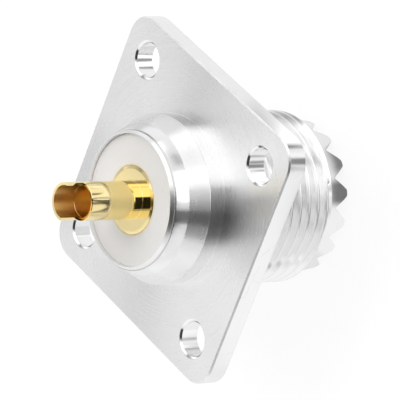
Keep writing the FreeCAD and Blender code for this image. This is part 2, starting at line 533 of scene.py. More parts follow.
class Finish(Enum):
    """The finishes of the socket."""

    SILVER_FACE = TurnedMetal("silver_face_turned", SILVER, roughness=0.27, anisotropy=0.93,
                              line_height=0.006, fine_height=0.004, grain_height=0.003, line_shade=0.05)
    SILVER_FRONT = TurnedMetal("silver_front_face", SILVER, roughness=0.14, anisotropy=0.5,
                               line_height=0.001, line_shade=0.03)
    SILVER_BOSS = TurnedMetal("silver_boss_turned", SILVER, roughness=0.27, anisotropy=0.93,
                              line_height=0.007, fine_height=0.005, grain_height=0.003, line_shade=0.04)
    SILVER_LIP = TurnedMetal("silver_lip", SILVER, roughness=0.28, anisotropy=0.3,
                             line_height=0.001, grain_height=0.0015, line_shade=0.02)
    SILVER_ROLLED = TurnedMetal("silver_rolled_zone", (0.91, 0.91, 0.915), roughness=0.15, anisotropy=0.3,
                                line_height=0.001, grain_height=0.0015, line_shade=0.02)
    # Darker silver in the narrow groove at the lip's root: painted shade of the groove.
    SILVER_ROOT_SHADED = PlainMetal("silver_lip_root_shaded", (0.80, 0.80, 0.795), roughness=0.22)
    SILVER_BREAK = PlainMetal("silver_edge_break", SILVER, roughness=0.36, grain_height=0.006,
                              grain_density=7.0, cloud_shade=0.14, scratch_shade=0.3)
    SILVER_EDGE = PlainMetal("silver_flange_edge", SILVER, roughness=0.16, grain_height=0.0012,
                             grain_stretch=(0.12, 0.12, 1.0))
    SILVER_HOLE = TurnedMetal("silver_hole_wall", (0.95, 0.95, 0.955), roughness=0.13, anisotropy=0.0,
                              line_height=0.0, line_shade=0.02)
    SILVER_THREAD = PlainMetal("silver_thread", SILVER, roughness=0.19, grain_height=0.0001)
    SILVER_MOUTH = PlainMetal("silver_mouth", SILVER, roughness=0.20)
    GOLD_POLISHED = TurnedMetal("gold_polished", GOLD, roughness=0.07, anisotropy=0.2,
                                line_height=0.0002, line_shade=0.02, speck_shade=0.5, speck_spacing=2.1)
    GOLD_SATIN = TurnedMetal("gold_satin", SATIN_GOLD, roughness=0.40, anisotropy=0.2,
                             line_height=0.0006, line_shade=0.02)
    GOLD_BORE = TurnedMetal("gold_cup_bore", BORE_GOLD, roughness=0.30, anisotropy=0.9,
                            line_height=0.0015, fine_height=0.005, fine_density=0.2, fine_length=7.0,
                            line_shade=0.08)
    INSULATOR = WhitePlastic("white_insulator")


def palette(finishes: Sequence[Finish]) -> list[bpy.types.Material]:
    """Build a piece's finishes in order."""
    return [finish.value.material() for finish in finishes]


# Shell


@dataclass
class Shell:
    """One-piece plated shell: flange, rear boss with rolled lip, threaded barrel and toothed mouth."""

    flange_side: float = 25.4
    flange_thickness: float = 2.0
    corner_radius: float = 2.5
    side_points: int = 17
    corner_points: int = 13
    edge_break: float = 0.14
    edge_round: float = 0.04
    edge_margin: float = 0.03
    hole_spacing: float = 18.24
    hole_radius: float = 1.6
    hole_chamfer: float = 0.22
    chamfer_round: float = 0.06
    chamfer_lead: float = 0.06
    chamfer_sag: float = 0.025
    chamfer_depth: float = 0.13
    chamfer_hold: float = 0.035
    hole_round: float = 0.012
    even_share: float = 0.3
    boss_radius: float = 7.73
    boss_straight: float = 1.6
    foot_round: float = 0.05
    shoulder_round: float = 0.15
    shoulder_radius: float = 6.86
    shoulder_height: float = 3.34
    rolled_bow: float = 0.014
    bead_root_radius: float = 6.30
    bead_root_height: float = 4.43
    root_width: float = 0.065
    root_drop: float = 0.02
    lip_radius: float = 5.98
    lip_height: float = 4.86
    lip_flat: float = 0.085
    lip_inner_round: float = 0.015
    lip_outer_round: float = 0.025
    lip_reach: float = 0.275
    lip_drop: float = 0.292
    thread_radius: float = 7.9375
    thread_pitch: float = 25.4 / 24.0
    thread_depth: float = 0.62
    thread_end: float = -12.65
    thread_taper: float = 0.45
    flank_angle: float = 60.0
    root_round: float = 0.05
    crest_round: float = 0.03
    relief_length: float = 0.5
    ring_radius: float = 7.15
    mouth_radius: float = 6.35
    mouth_end: float = -15.1
    rim_round: float = 0.09
    tooth_count: int = 16
    tooth_height: float = 1.3
    tooth_tip_round: float = 0.38
    tooth_gullet_round: float = 0.12
    nose_radius: float = 5.95
    seat_radius: float = 6.30
    insulator_front: float = -9.8
    insulator_step: float = -7.0
    lip_seat_height: float = 4.0
    insulator_face: float = 4.40

    finishes: ClassVar[tuple[Finish, ...]] = (
        Finish.SILVER_FACE, Finish.SILVER_FRONT, Finish.SILVER_BOSS, Finish.SILVER_LIP,
        Finish.SILVER_ROLLED, Finish.SILVER_ROOT_SHADED, Finish.SILVER_BREAK, Finish.SILVER_EDGE,
        Finish.SILVER_HOLE, Finish.SILVER_THREAD, Finish.SILVER_MOUTH,
    )

    def finish(self, wanted: Finish) -> int:
        """Index of a finish among the shell's own."""
        return self.finishes.index(wanted)

    def angles(self) -> np.ndarray:
        """Angles round the axis, closest together at the tips and gullets of the teeth.

        One half of a tooth spacing is divided at fixed shares from gullet to tip, which
        repeats as a mirrored pair all the way round.
        """
        shares = np.array([0.0, 0.04, 0.08, 0.32, 0.56, 0.78, 0.86, 0.93])
        pair = np.concatenate([shares, 2.0 - np.concatenate([[1.0], shares[:0:-1]])])
        half = math.pi / self.tooth_count
        starts = 2.0 * half * np.arange(self.tooth_count)
        return np.append((starts[:, None] + half * pair[None, :]).ravel(), FULL_TURN)

    def boss(self, skin: Skin, angles: np.ndarray) -> None:
        """Add the bored inside behind the step, the rolled lip and the outside of the boss."""
        inside = rounded_profile([
            (self.nose_radius, self.insulator_front, 0.0),
            (self.nose_radius, self.insulator_step, 0.0),
            (self.seat_radius, self.insulator_step, 0.0),
            (self.seat_radius, self.lip_seat_height, 0.0),
            (self.lip_radius, self.insulator_face, 0.0),
        ])
        skin.add(revolved(inside, angles), self.finish(Finish.SILVER_BOSS))
        edge_radius, edge_height = self.lip_radius + self.lip_reach, self.lip_height - self.lip_drop
        lip = rounded_profile([
            (self.lip_radius, self.insulator_face, 0.0),
            (self.lip_radius, self.lip_height, self.lip_inner_round),
            (self.lip_radius + self.lip_flat, self.lip_height, self.lip_outer_round),
            (edge_radius - 0.006, edge_height + 0.009, 0.0),
            (edge_radius, edge_height, 0.0),
        ], steps=5, hold=0.005)
        skin.add(revolved(lip, angles), self.finish(Finish.SILVER_LIP))
        root = np.array([
            (edge_radius, edge_height),
            (edge_radius + 0.002, edge_height - 0.011),
            (self.bead_root_radius - 0.02, self.bead_root_height + 0.01),
            (self.bead_root_radius - 0.01, self.bead_root_height - 0.03),
            self.rolled_start(),
        ])
        # The root groove gets the darker silver, painted shade.
        skin.add(revolved(root, angles), self.finish(Finish.SILVER_ROOT_SHADED))
        skin.add(revolved(self.rolled_profile(), angles), self.finish(Finish.SILVER_ROLLED))
        self.cone(skin, angles)

    def cone(self, skin: Skin, angles: np.ndarray) -> None:
        """Add the boss's cone and its straight foot, with the polished round between them."""
        foot = self.boss_radius + self.foot_round
        arc_steps = 5
        profile = rounded_profile([
            (self.shoulder_radius, self.shoulder_height, 0.0),
            (self.shoulder_radius + 0.013, self.shoulder_height - 0.027, 0.0),
            (self.boss_radius, self.boss_straight, self.shoulder_round),
            (self.boss_radius, 0.0, self.foot_round),
            (foot + 0.001, 0.0, 0.0),
        ], steps=arc_steps, hold=0.01)
        # The foot's round ends where the face starts, so its second holding point is dropped.
        profile = np.delete(profile, -2, axis=0)
        profile[-1] = (foot, 0.0)
        # The polished round reaches from its first holding point to its second one.
        first = 2
        last = first + arc_steps + 2
        skin.add(revolved(profile[: first + 1], angles), self.finish(Finish.SILVER_BOSS))
        skin.add(revolved(profile[first: last + 1], angles), self.finish(Finish.SILVER_ROLLED))
        skin.add(revolved(profile[last:], angles), self.finish(Finish.SILVER_BOSS))

    def rolled_start(self) -> tuple[float, float]:
        """(radius, height) where the lip's root ends and the rolled zone starts."""
        return (self.bead_root_radius + self.root_width, self.bead_root_height - self.root_drop)

    def rolled_profile(self) -> np.ndarray:
        """(radius, height) of the zone that the rolling tool pressed, from the lip's root to the cone.

        It is a shallow bow over the straight line between both ends: at share t of the way it
        stands 4 t (1 - t) times the bow's height off the line.
        """
        start = np.array(self.rolled_start())
        end = np.array([self.shoulder_radius, self.shoulder_height])
        outward = unit(np.array([start[1] - end[1], end[0] - start[0]]))
        share = np.array([0.0, 0.125, 0.25, 0.375, 0.5, 0.625, 0.75, 0.875, 0.98, 1.0])[:, None]
        return start * (1.0 - share) + end * share + 4.0 * share * (1.0 - share) * self.rolled_bow * outward

    def outline(self) -> tuple[np.ndarray, np.ndarray]:
        """Give the flange's outline in its first quadrant.

        Returns:
            Points (x, y) from (half, 0) round the corner to (0, half), and the outward
            direction at each of them. Moving every point along its direction by the same
            distance gives the parallel outline.
        """
        half = 0.5 * self.flange_side
        straight = half - self.corner_radius
        along = np.linspace(0.0, straight, self.side_points)
        arc = circle(np.linspace(0.0, 0.5 * math.pi, self.corner_points)[1:-1])
        upright = np.stack([np.full_like(along, half), along], axis=-1)
        points = np.concatenate([upright, straight + self.corner_radius * arc, upright[::-1, ::-1]])
        ahead = np.broadcast_to([1.0, 0.0], upright.shape)
        return points, np.concatenate([ahead, arc, ahead[:, ::-1]])

    def hole_angles(self, border: np.ndarray) -> np.ndarray:
        """Angles round a mounting hole that face the points of a loop about it.

        They lie between the true directions to the points and an even spacing, so that the
        straight lines from the hole to the loop stay inside the plate.
        """
        centre = 0.5 * self.hole_spacing
        direction = np.unwrap(np.arctan2(border[:, 1] - centre, border[:, 0] - centre))
        even = np.linspace(0.0, FULL_TURN, len(border))
        even += np.mean(direction - even)
        mixed = (1.0 - self.even_share) * direction + self.even_share * even
        mixed[-1] = mixed[0] + FULL_TURN
        return mixed

    def quadrant(self, inner_radius: float, arc_angles: np.ndarray) -> np.ndarray:
        """Give the loop round one quarter of a flange face.

        The loop runs out along +X, round the parallel outline, back along +Y and along the
        inner circle to its start, anticlockwise seen from +Z.
        """
        points, directions = self.outline()
        edge = points - (self.edge_break + self.edge_margin) * directions
        share = np.linspace(0.0, 1.0, 13)[:, None]
        outward = np.array([inner_radius, 0.0]) * (1.0 - share) + edge[0] * share
        back = edge[-1] * (1.0 - share) + np.array([0.0, inner_radius]) * share
        inner = inner_radius * circle(arc_angles[::-1])
        return np.concatenate([outward, edge[1:], back[1:], inner[1:]])

    def face_grid(self, loop: np.ndarray, angles: np.ndarray, height: float, quarter: int) -> np.ndarray:
        """One quarter of a flange face as rings between its hole and its border.

        Ring s lies at hole x (1 - s) + border x s. The first and last rings are thin, which
        keeps the face flat beside its rounded edges.
        """
        centre = 0.5 * self.hole_spacing
        wide = self.hole_radius + self.hole_chamfer
        hole = centre + wide * circle(angles)
        share = np.concatenate([[0.0, 0.01], np.linspace(0.12, 0.9, 6), [0.99, 1.0]])[:, None, None]
        grid = hole[None] * (1.0 - share) + loop[None] * share
        return self.turned_quarter(grid, np.full(grid.shape[:2], height), quarter)

    @staticmethod
    def turned_quarter(flat: np.ndarray, height: np.ndarray, quarter: int) -> np.ndarray:
        """Turn (x, y) points by whole quarters about the axis and give them their heights."""
        x, y = flat[..., 0], flat[..., 1]
        turned = ((x, y), (-y, x), (-x, -y), (y, -x))[quarter]
        return np.stack([*turned, height], axis=-1)

    def hole_profile(self) -> np.ndarray:
        """(radius, height) of a mounting hole's wall from the rear face to the front face."""
        wide, radius = self.hole_radius + self.hole_chamfer, self.hole_radius
        rear = rounded_profile([
            (wide, 0.0, 0.0),
            (wide - self.chamfer_lead, -self.chamfer_sag, self.chamfer_round),
            (radius, -self.chamfer_depth, self.hole_round),
            (radius, -self.chamfer_depth - self.chamfer_hold, 0.0),
        ], steps=2, hold=0.0)
        front = rear[::-1] * (1.0, -1.0) - (0.0, self.flange_thickness)
        return np.concatenate([rear, front])

    def flange(self, skin: Skin, angles: np.ndarray) -> None:
        """Add both faces of the flange, its rounded sides and its four holes."""
        arc_angles = angles[: (len(angles) - 1) // 4 + 1]
        rear = self.quadrant(self.boss_radius + self.foot_round, arc_angles)
        front = self.quadrant(self.thread_radius - self.thread_depth, arc_angles)
        wall_angles = self.hole_angles(rear)
        hole = self.hole_profile()
        points, directions = self.outline()
        broken = rounded_profile([
            (self.edge_break + self.edge_margin, 0.0, 0.0),
            (self.edge_break, 0.0, self.edge_round),
            (0.0, self.edge_break, self.edge_round),
            (0.0, 0.5 * self.flange_thickness, 0.0),
        ], steps=2, hold=0.01)
        inset = np.concatenate([broken[:, 0], broken[-2::-1, 0]])
        drop = np.concatenate([broken[:, 1], self.flange_thickness - broken[-2::-1, 1]])
        side = points[None] - directions[None] * inset[:, None, None]
        side_height = np.broadcast_to(-drop[:, None], side.shape[:2])
        # The plain side lies between the holding points on either side of its middle row.
        middle = len(broken) - 1
        bands = (
            (slice(0, middle), Finish.SILVER_BREAK),
            (slice(middle - 1, middle + 2), Finish.SILVER_EDGE),
            (slice(middle + 1, None), Finish.SILVER_BREAK),
        )
        wall = 0.5 * self.hole_spacing + hole[:, 0, None, None] * circle(wall_angles)[None]
        wall_height = np.broadcast_to(hole[:, 1, None], wall.shape[:2])
        for quarter in range(4):
            skin.add(self.face_grid(rear, wall_angles, 0.0, quarter), self.finish(Finish.SILVER_FACE))
            skin.add(self.face_grid(front, wall_angles, -self.flange_thickness, quarter),
                     self.finish(Finish.SILVER_FRONT), flip=True)
            for rows, finish in bands:
                skin.add(self.turned_quarter(side[rows], side_height[rows], quarter), self.finish(finish))
            skin.add(self.turned_quarter(wall, wall_height, quarter),
                     self.finish(Finish.SILVER_HOLE), flip=True)

    def thread(self, skin: Skin, angles: np.ndarray) -> None:
        """Add the right-handed thread between the flange and the mouth ring.

        One pitch of the thread's form, with rounded crests and roots between flanks of 60
        degrees, is repeated down the barrel. Every point of it moves along the axis by a pitch
        in a full turn, so that each row follows the helix, and is held between the barrel's
        ends. The radius is the least of the form, the relief at the flange and the chamfer at
        the mouth.
        """
        pitch, crest = self.thread_pitch, self.thread_radius
        root = crest - self.thread_depth
        flank = self.thread_depth / math.tan(math.radians(self.flank_angle))
        crest_half = pitch / 16.0
        root_half = 0.5 * pitch - crest_half - flank
        whole_form = rounded_profile([
            (root, 0.0, 0.0),
            (root, root_half, self.root_round),
            (crest, root_half + flank, self.crest_round),
            (crest, pitch - root_half - flank, self.crest_round),
            (root, pitch - root_half, self.root_round),
            (root, pitch, 0.0),
        ], steps=2, hold=0.01)
        # The flats of root and crest are too short for these holding points, and the last
        # point is the first one of the next pitch.
        spare = (1, 10, 11, 20, 21)
        form = np.delete(whole_form, spare, axis=0)
        top = -self.flange_thickness
        low = self.thread_end - self.thread_taper
        count = math.ceil((top - low) / pitch + 1.0)
        drop = (pitch * np.arange(count)[:, None] + form[None, :, 1]).ravel()
        drop = np.append(drop, pitch * count)[:, None]
        shape = np.append(np.tile(form[:, 0], count), root)[:, None]
        start = top + pitch * angles[None, :] / FULL_TURN
        height = np.clip(start - drop, low, top)
        reached = start - height
        beyond = np.abs(reached - drop) > 1e-9
        wrapped = np.interp(np.mod(reached, pitch), np.append(form[:, 1], pitch), np.append(form[:, 0], root))
        radius = np.where(beyond, wrapped, shape)
        relief = root + np.maximum(top - self.relief_length - height, 0.0)
        chamfer = self.ring_radius + (height - low) * (crest - self.ring_radius) / self.thread_taper
        radius = np.minimum(np.minimum(radius, relief), chamfer)
        skin.add(joined(radius, angles[None, :], height), self.finish(Finish.SILVER_THREAD))

    def tooth_surface(self, across: np.ndarray) -> np.ndarray:
        """Height of the toothed end at a distance from the nearest gullet's middle plane.

        A round bottom, a straight flank and a round tip follow each other. With half width w,
        height h and the sum s of both radii, the flank's angle a from the axis solves
        L sin(a) + s cos(a) = w and L cos(a) + s (1 - sin(a)) = h.

        Args:
            across: Distances from the gullet's middle plane.

        Returns:
            Heights in the part's frame.
        """
        half_width = self.mouth_radius * math.tan(math.pi / self.tooth_count)
        gullet, tip = self.tooth_gullet_round, self.tooth_tip_round
        rest = self.tooth_height - gullet - tip
        flank = math.acos((gullet + tip) / math.hypot(half_width, rest)) - math.atan2(rest, half_width)
        full = 0.5 * math.pi - flank
        bottom = self.mouth_end + self.tooth_height
        start = gullet * math.sin(full)
        stop = half_width - tip * math.sin(full)
        start_height = bottom - gullet * (1.0 - math.cos(full))
        stop_height = self.mouth_end + tip * (1.0 - math.cos(full))
        low = np.sqrt(np.maximum(gullet**2 - np.minimum(across, start) ** 2, 0.0)) + bottom - gullet
        share = np.clip((across - start) / (stop - start), 0.0, 1.0)
        middle = start_height + share * (stop_height - start_height)
        reach = np.clip(half_width - across, 0.0, tip)
        high = self.mouth_end + tip - np.sqrt(np.maximum(tip**2 - reach**2, 0.0))
        return np.where(across < start, low, np.where(across < stop, middle, high))

    def mouth(self, skin: Skin, angles: np.ndarray) -> None:
        """Add the ring, its teeth and the bore down to the insulator's face.

        Rows go down the ring's outside to the toothed end, inwards across it and up the bore.
        Both rims of the end are quarter rounds.
        """
        spacing = FULL_TURN / self.tooth_count
        from_gullet = np.abs(np.mod(angles + 0.5 * spacing, spacing) - 0.5 * spacing)
        ring_top = self.thread_end - self.thread_taper
        bore_top = ring_top + 0.3
        outer, inner, small = self.ring_radius, self.mouth_radius, self.rim_round

        def end_at(radius: float) -> np.ndarray:
            """Height of the toothed end at a radius."""
            return self.tooth_surface(radius * np.sin(from_gullet))

        rows = []
        for share in (0.0, 0.05, 0.4, 0.8, 0.97, 1.0):
            rows.append((outer, ring_top * (1.0 - share) + (end_at(outer) + small) * share))
        for turn in np.radians([20.0, 45.0, 70.0]):
            radius = outer - small * (1.0 - math.cos(turn))
            rows.append((radius, end_at(radius) + small * (1.0 - math.sin(turn))))
        for radius in np.linspace(outer - small, inner + small, 7):
            rows.append((radius, end_at(radius)))
        for turn in np.radians([70.0, 45.0, 20.0]):
            radius = inner + small * (1.0 - math.cos(turn))
            rows.append((radius, end_at(radius) + small * (1.0 - math.sin(turn))))
        for share in (0.0, 0.03, 0.3, 0.7, 1.0):
            rows.append((inner, (end_at(inner) + small) * (1.0 - share) + bore_top * share))
        radii = np.array([row[0] for row in rows])[:, None]
        heights = np.stack([row[1] for row in rows])
        skin.add(joined(radii, angles[None, :], heights), self.finish(Finish.SILVER_MOUTH))
        bore = rounded_profile([
            (inner, bore_top, 0.0),
            (inner, self.insulator_front, 0.05),
            (self.nose_radius, self.insulator_front, 0.0),
        ])
        skin.add(revolved(bore, angles), self.finish(Finish.SILVER_MOUTH))

    def build(self) -> bpy.types.Object:
        """Build and dress the shell, and put it in the place of its solid."""
        skin = Skin()
        angles = self.angles()
        self.boss(skin, angles)
        self.flange(skin, angles)
        self.thread(skin, angles)
        self.mouth(skin, angles)
        piece = skin.make("shell_dressed", palette(self.finishes), crease=38.0)
        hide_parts("shell")
        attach(piece, BODY)
        return piece


# Insulator


@dataclass
class Insulator:
    """White stepped body between the shell and the centre contact."""

    radius: float = 6.28
    nose_radius: float = 5.93
    front: float = -9.8
    step: float = -7.0
    face: float = 4.40
    rim_radius: float = 5.96
    rim_drop: float = 0.40
    recess_radius: float = 3.13
    recess_floor: float = 3.22
    tube_radius: float = 2.65
    columns: int = 160

    def build(self) -> bpy.types.Object:
        """Build and dress the insulator, and put it in the place of its solid."""
        profile = rounded_profile([
            (self.tube_radius, self.front, 0.06),
            (self.tube_radius, self.recess_floor, 0.0),
            (self.recess_radius, self.recess_floor, 0.0),
            (self.recess_radius, self.face, 0.03),
            (self.rim_radius, self.face, 0.02),
            (self.radius, self.face - self.rim_drop, 0.0),
            (self.radius, self.step, 0.0),
            (self.nose_radius, self.step, 0.0),
            (self.nose_radius, self.front, 0.15),
        ], closed=True)
        profile = np.concatenate([profile, profile[:1]])
        skin = Skin()
        skin.add(revolved(profile, whole_turn(self.columns)), 0)
        piece = skin.make("insulator_dressed", palette([Finish.INSULATOR]), crease=40.0)
        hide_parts("insulator")
        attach(piece, BODY)
        return piece


# Centre contact


@dataclass
class CentreContact:
    """Gold plated contact: half-open solder cup, flat collar and slotted spring socket."""

    collar_radius: float = 3.11
    collar_flat_radius: float = 2.83
    collar_seat: float = 3.22
    collar_edge: float = 4.40
    collar_face: float = 4.47
    cup_radius: float = 1.75
    cup_bore: float = 1.5
    cup_end: float = 12.0
    cup_bottom: float = 7.0
    rim_outer_height: float = 10.15
    rim_crest_radius: float = 1.71
    rim_crest_height: float = 10.2
    rim_inner_height: float = 10.16
    bore_line_height: float = 9.73
    bore_line_half: float = 0.025
    bore_line_depth: float = 0.035
    cut_direction: float = 13.0
    foot_top: float = 5.7
    neck_top: float = 8.0
    neck_step: float = 0.02
    socket_radius: float = 2.6
    socket_bore: float = 2.0
    socket_end: float = -9.7
    socket_bottom: float = 0.8
    slot_top: float = -3.2
    slot_width: float = 0.5
    slot_count: int = 4
    slot_steps: int = 3
    finger_steps: int = 21
    lead_in: float = 0.25
    drill_point: float = 118.0

    finishes: ClassVar[tuple[Finish, ...]] = (Finish.GOLD_POLISHED, Finish.GOLD_SATIN, Finish.GOLD_BORE)

    def finish(self, wanted: Finish) -> int:
        """Index of a finish among the contact's own."""
        return self.finishes.index(wanted)

    def point_depth(self, radius: float) -> float:
        """Length of the conical point that a drill of this radius leaves."""
        return radius / math.tan(math.radians(0.5 * self.drill_point))

    def cup(self, skin: Skin, angles: np.ndarray, standing: slice, cut: slice) -> None:
        """Add the collar, the neck and the solder cup.

        Args:
            skin: Surfaces of the piece.
            angles: Angles of a whole turn that starts where the standing wall does.
            standing: Columns of the wall that reaches the cup's end.
            cut: Columns of the wall that is cut away.
        """
        polished, satin, bored = (self.finish(finish) for finish in self.finishes)
        outer, bore = self.cup_radius, self.cup_bore
        low = self.rim_outer_height
        tip = rounded_profile([
            (outer, low, 0.0),
            (outer, low - 0.03, 0.0),
            (outer, self.neck_top + self.neck_step, 0.02),
            (outer - self.neck_step, self.neck_top, 0.0),
        ], hold=0.01)
        skin.add(revolved(tip, angles), polished)
        neck = np.array([
            (outer - self.neck_step, self.neck_top),
            (outer - self.neck_step, self.foot_top),
        ])
        skin.add(revolved(neck, angles), satin)
        foot = rounded_profile([
            (outer - self.neck_step, self.foot_top, 0.0),
            (outer - self.neck_step, self.collar_face, 0.04),
            (self.collar_flat_radius, self.collar_face, 0.04),
            (self.collar_radius, self.collar_edge, 0.02),
            (self.collar_radius, self.collar_seat, 0.0),
        ])
        skin.add(revolved(foot, angles), polished)
        rim = np.array([
            (outer, low),
            (self.rim_crest_radius, self.rim_crest_height),
            (bore, self.rim_inner_height),
        ])
        end = np.array([(radius, self.cup_end) for radius in rim[:, 0]])
        rise = np.linspace(0.0, 1.0, 7)[:, None, None]
        wall = rim[None] * (1.0 - rise) + end[None] * rise
        skin.add(revolved(wall[::-1, 0], angles[standing]), polished)
        skin.add(revolved(wall[:, 2], angles[standing]), bored)
        skin.add(revolved(end, angles[standing]), polished, flip=True)
        skin.add(revolved(rim, angles[cut]), polished, flip=True)
        for column, flip in ((standing.start, False), (standing.stop - 1, True)):
            side = joined(wall[..., 0], angles[column], wall[..., 1])
            skin.add(side, polished, flip=flip)
        tip_depth = self.point_depth(bore)
        inside = np.array([
            (bore, self.rim_inner_height),
            (bore, self.bore_line_height + self.bore_line_half),
            (bore - self.bore_line_depth, self.bore_line_height),
            (bore, self.bore_line_height - self.bore_line_half),
            (bore, self.cup_bottom + 0.02),
            (bore, self.cup_bottom),
            (0.5 * bore, self.cup_bottom - 0.5 * tip_depth),
            (0.0, self.cup_bottom - tip_depth),
        ])
        skin.add(revolved(inside, angles), bored, flip=True)

    def slot_angles(self, radius: np.ndarray) -> np.ndarray:
        """Angles round the spring socket, by radius.

        In each quarter turn the first columns span the slot, from minus to plus
        asin(half the slot's width / radius), and the rest span the finger after it, so that
        the slots' walls are parallel planes.
        """
        quarter = FULL_TURN / self.slot_count
        half = np.arcsin(0.5 * self.slot_width / radius)[..., None]
        in_slot = np.linspace(-1.0, 1.0, self.slot_steps + 1)[:-1] * half
        on_finger = half + (quarter - 2.0 * half) * np.linspace(0.0, 1.0, self.finger_steps + 1)[:-1]
        one = np.concatenate([in_slot, on_finger], axis=-1)
        turns = quarter * (np.arange(self.slot_count) + 0.5)
        angles = (turns[:, None] + one[..., None, :]).reshape(*radius.shape, -1)
        return np.concatenate([angles, angles[..., :1] + FULL_TURN], axis=-1)

    def socket(self, skin: Skin, angles: np.ndarray) -> None:
        """Add the collar's underside and the spring socket with its slots, lead-in and bore.

        Args:
            skin: Surfaces of the piece.
            angles: The collar's angles, as many as the socket has.
        """
        polished, bored = self.finish(Finish.GOLD_POLISHED), self.finish(Finish.GOLD_BORE)
        outer, bore = self.socket_radius, self.socket_bore
        end, top = self.socket_end, self.slot_top
        solid_outer = np.array([(outer, self.collar_seat), (outer, 0.0), (outer, top)])
        finger = rounded_profile([
            (outer, top, 0.0),
            (outer, end, 0.05),
            (bore + self.lead_in, end, 0.03),
            (bore, end + self.lead_in, 0.03),
            (bore, top, 0.0),
        ], steps=3, hold=0.01)
        depth = self.point_depth(bore)
        solid_inner = np.array([(bore, top), (bore, self.socket_bottom), (0.0, self.socket_bottom + depth)])

        def swept(profile: np.ndarray) -> np.ndarray:
            """Carry a profile round the axis at the slotted angles."""
            angles = self.slot_angles(np.maximum(profile[:, 0], bore))
            return joined(profile[:, 0, None], angles, profile[:, 1, None])

        socket_top = swept(solid_outer)
        columns = socket_top.shape[1] - 1
        shift = round((self.slot_angles(np.array(outer))[0] - angles[0]) / FULL_TURN * columns) % columns
        ring = joined(self.collar_radius, angles[:-1], self.collar_seat)
        ring = np.roll(ring, -shift, axis=0)
        ring = np.concatenate([ring, ring[:1]])
        skin.add(np.stack([ring, socket_top[0]]), polished)
        skin.add(socket_top, polished)
        skin.add(swept(solid_inner), bored)
        grid = swept(finger)
        for index in range(self.slot_count):
            slot = index * (self.slot_steps + self.finger_steps)
            first = slot + self.slot_steps
            last = first + self.finger_steps
            skin.add(grid[:, first: last + 1], polished)
            skin.add(np.stack([grid[0, slot: first + 1], grid[-1, slot: first + 1]]), polished)
            self.slot_wall(skin, grid[:, first], polished, False)
            self.slot_wall(skin, grid[:, slot], polished, True)

    @staticmethod
    def slot_wall(skin: Skin, border: np.ndarray, finish: int, flip: bool) -> None:
        """Fill the flat wall of a slot, between the outer and the inner half of its border."""
        middle = len(border) // 2
        outer = border[: middle + 1]
        inner = border[::-1][: middle + 1] if len(border) % 2 else border[::-1][: middle]
        if len(outer) > len(inner):
            inner = np.concatenate([inner, inner[-1:]])
        skin.add(np.stack([outer, inner]), finish, flip=flip)

    def build(self) -> bpy.types.Object:
        """Build and dress the contact, and put it in the place of its solid."""
        skin = Skin()
        half = self.slot_count * (self.slot_steps + self.finger_steps) // 2
        start = math.radians(self.cut_direction + 90.0)
        angles = start + whole_turn(2 * half)
        self.cup(skin, angles, slice(0, half + 1), slice(half, 2 * half + 1))
        self.socket(skin, angles)
        piece = skin.make("centre_contact_dressed", palette(self.finishes), crease=35.0)
        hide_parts("centre_contact")
        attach(piece, BODY)
        return piece


# Studio


@dataclass(frozen=True)
class Card:
    """A soft-edged dark or bright panel of the studio's sky.

    Its bearing is measured at the point of the unit circle that lies behind the object, from
    the camera's side towards the picture's top, because a turned surface spreads what it
    reflects along lines of equal bearing. Its rise goes from the horizon on the camera's side
    (0) over the zenith (90) to the far horizon (180). Both are in degrees. Inside the panel
    the sky's level is multiplied.
    """

    bearing: float
    rise: float
    half_width: float
    half_height: float
    level: float
    softness: float = 2.5


@dataclass(frozen=True)
class PaintedPatch:
    """A soft-edged patch of painted shadow (dark) or painted light (bright) on the floor, as polished metal
    reflects it.

    Its azimuth about the connector axis is measured from the camera's side in degrees, and its
    distance from the axis in millimetres, along which its border fades. Inside it the floor's
    level is multiplied.
    """

    azimuth: float
    distance: float
    half_width: float
    half_length: float
    level: float
    softness: float = 4.0
    fade: float = 1.0


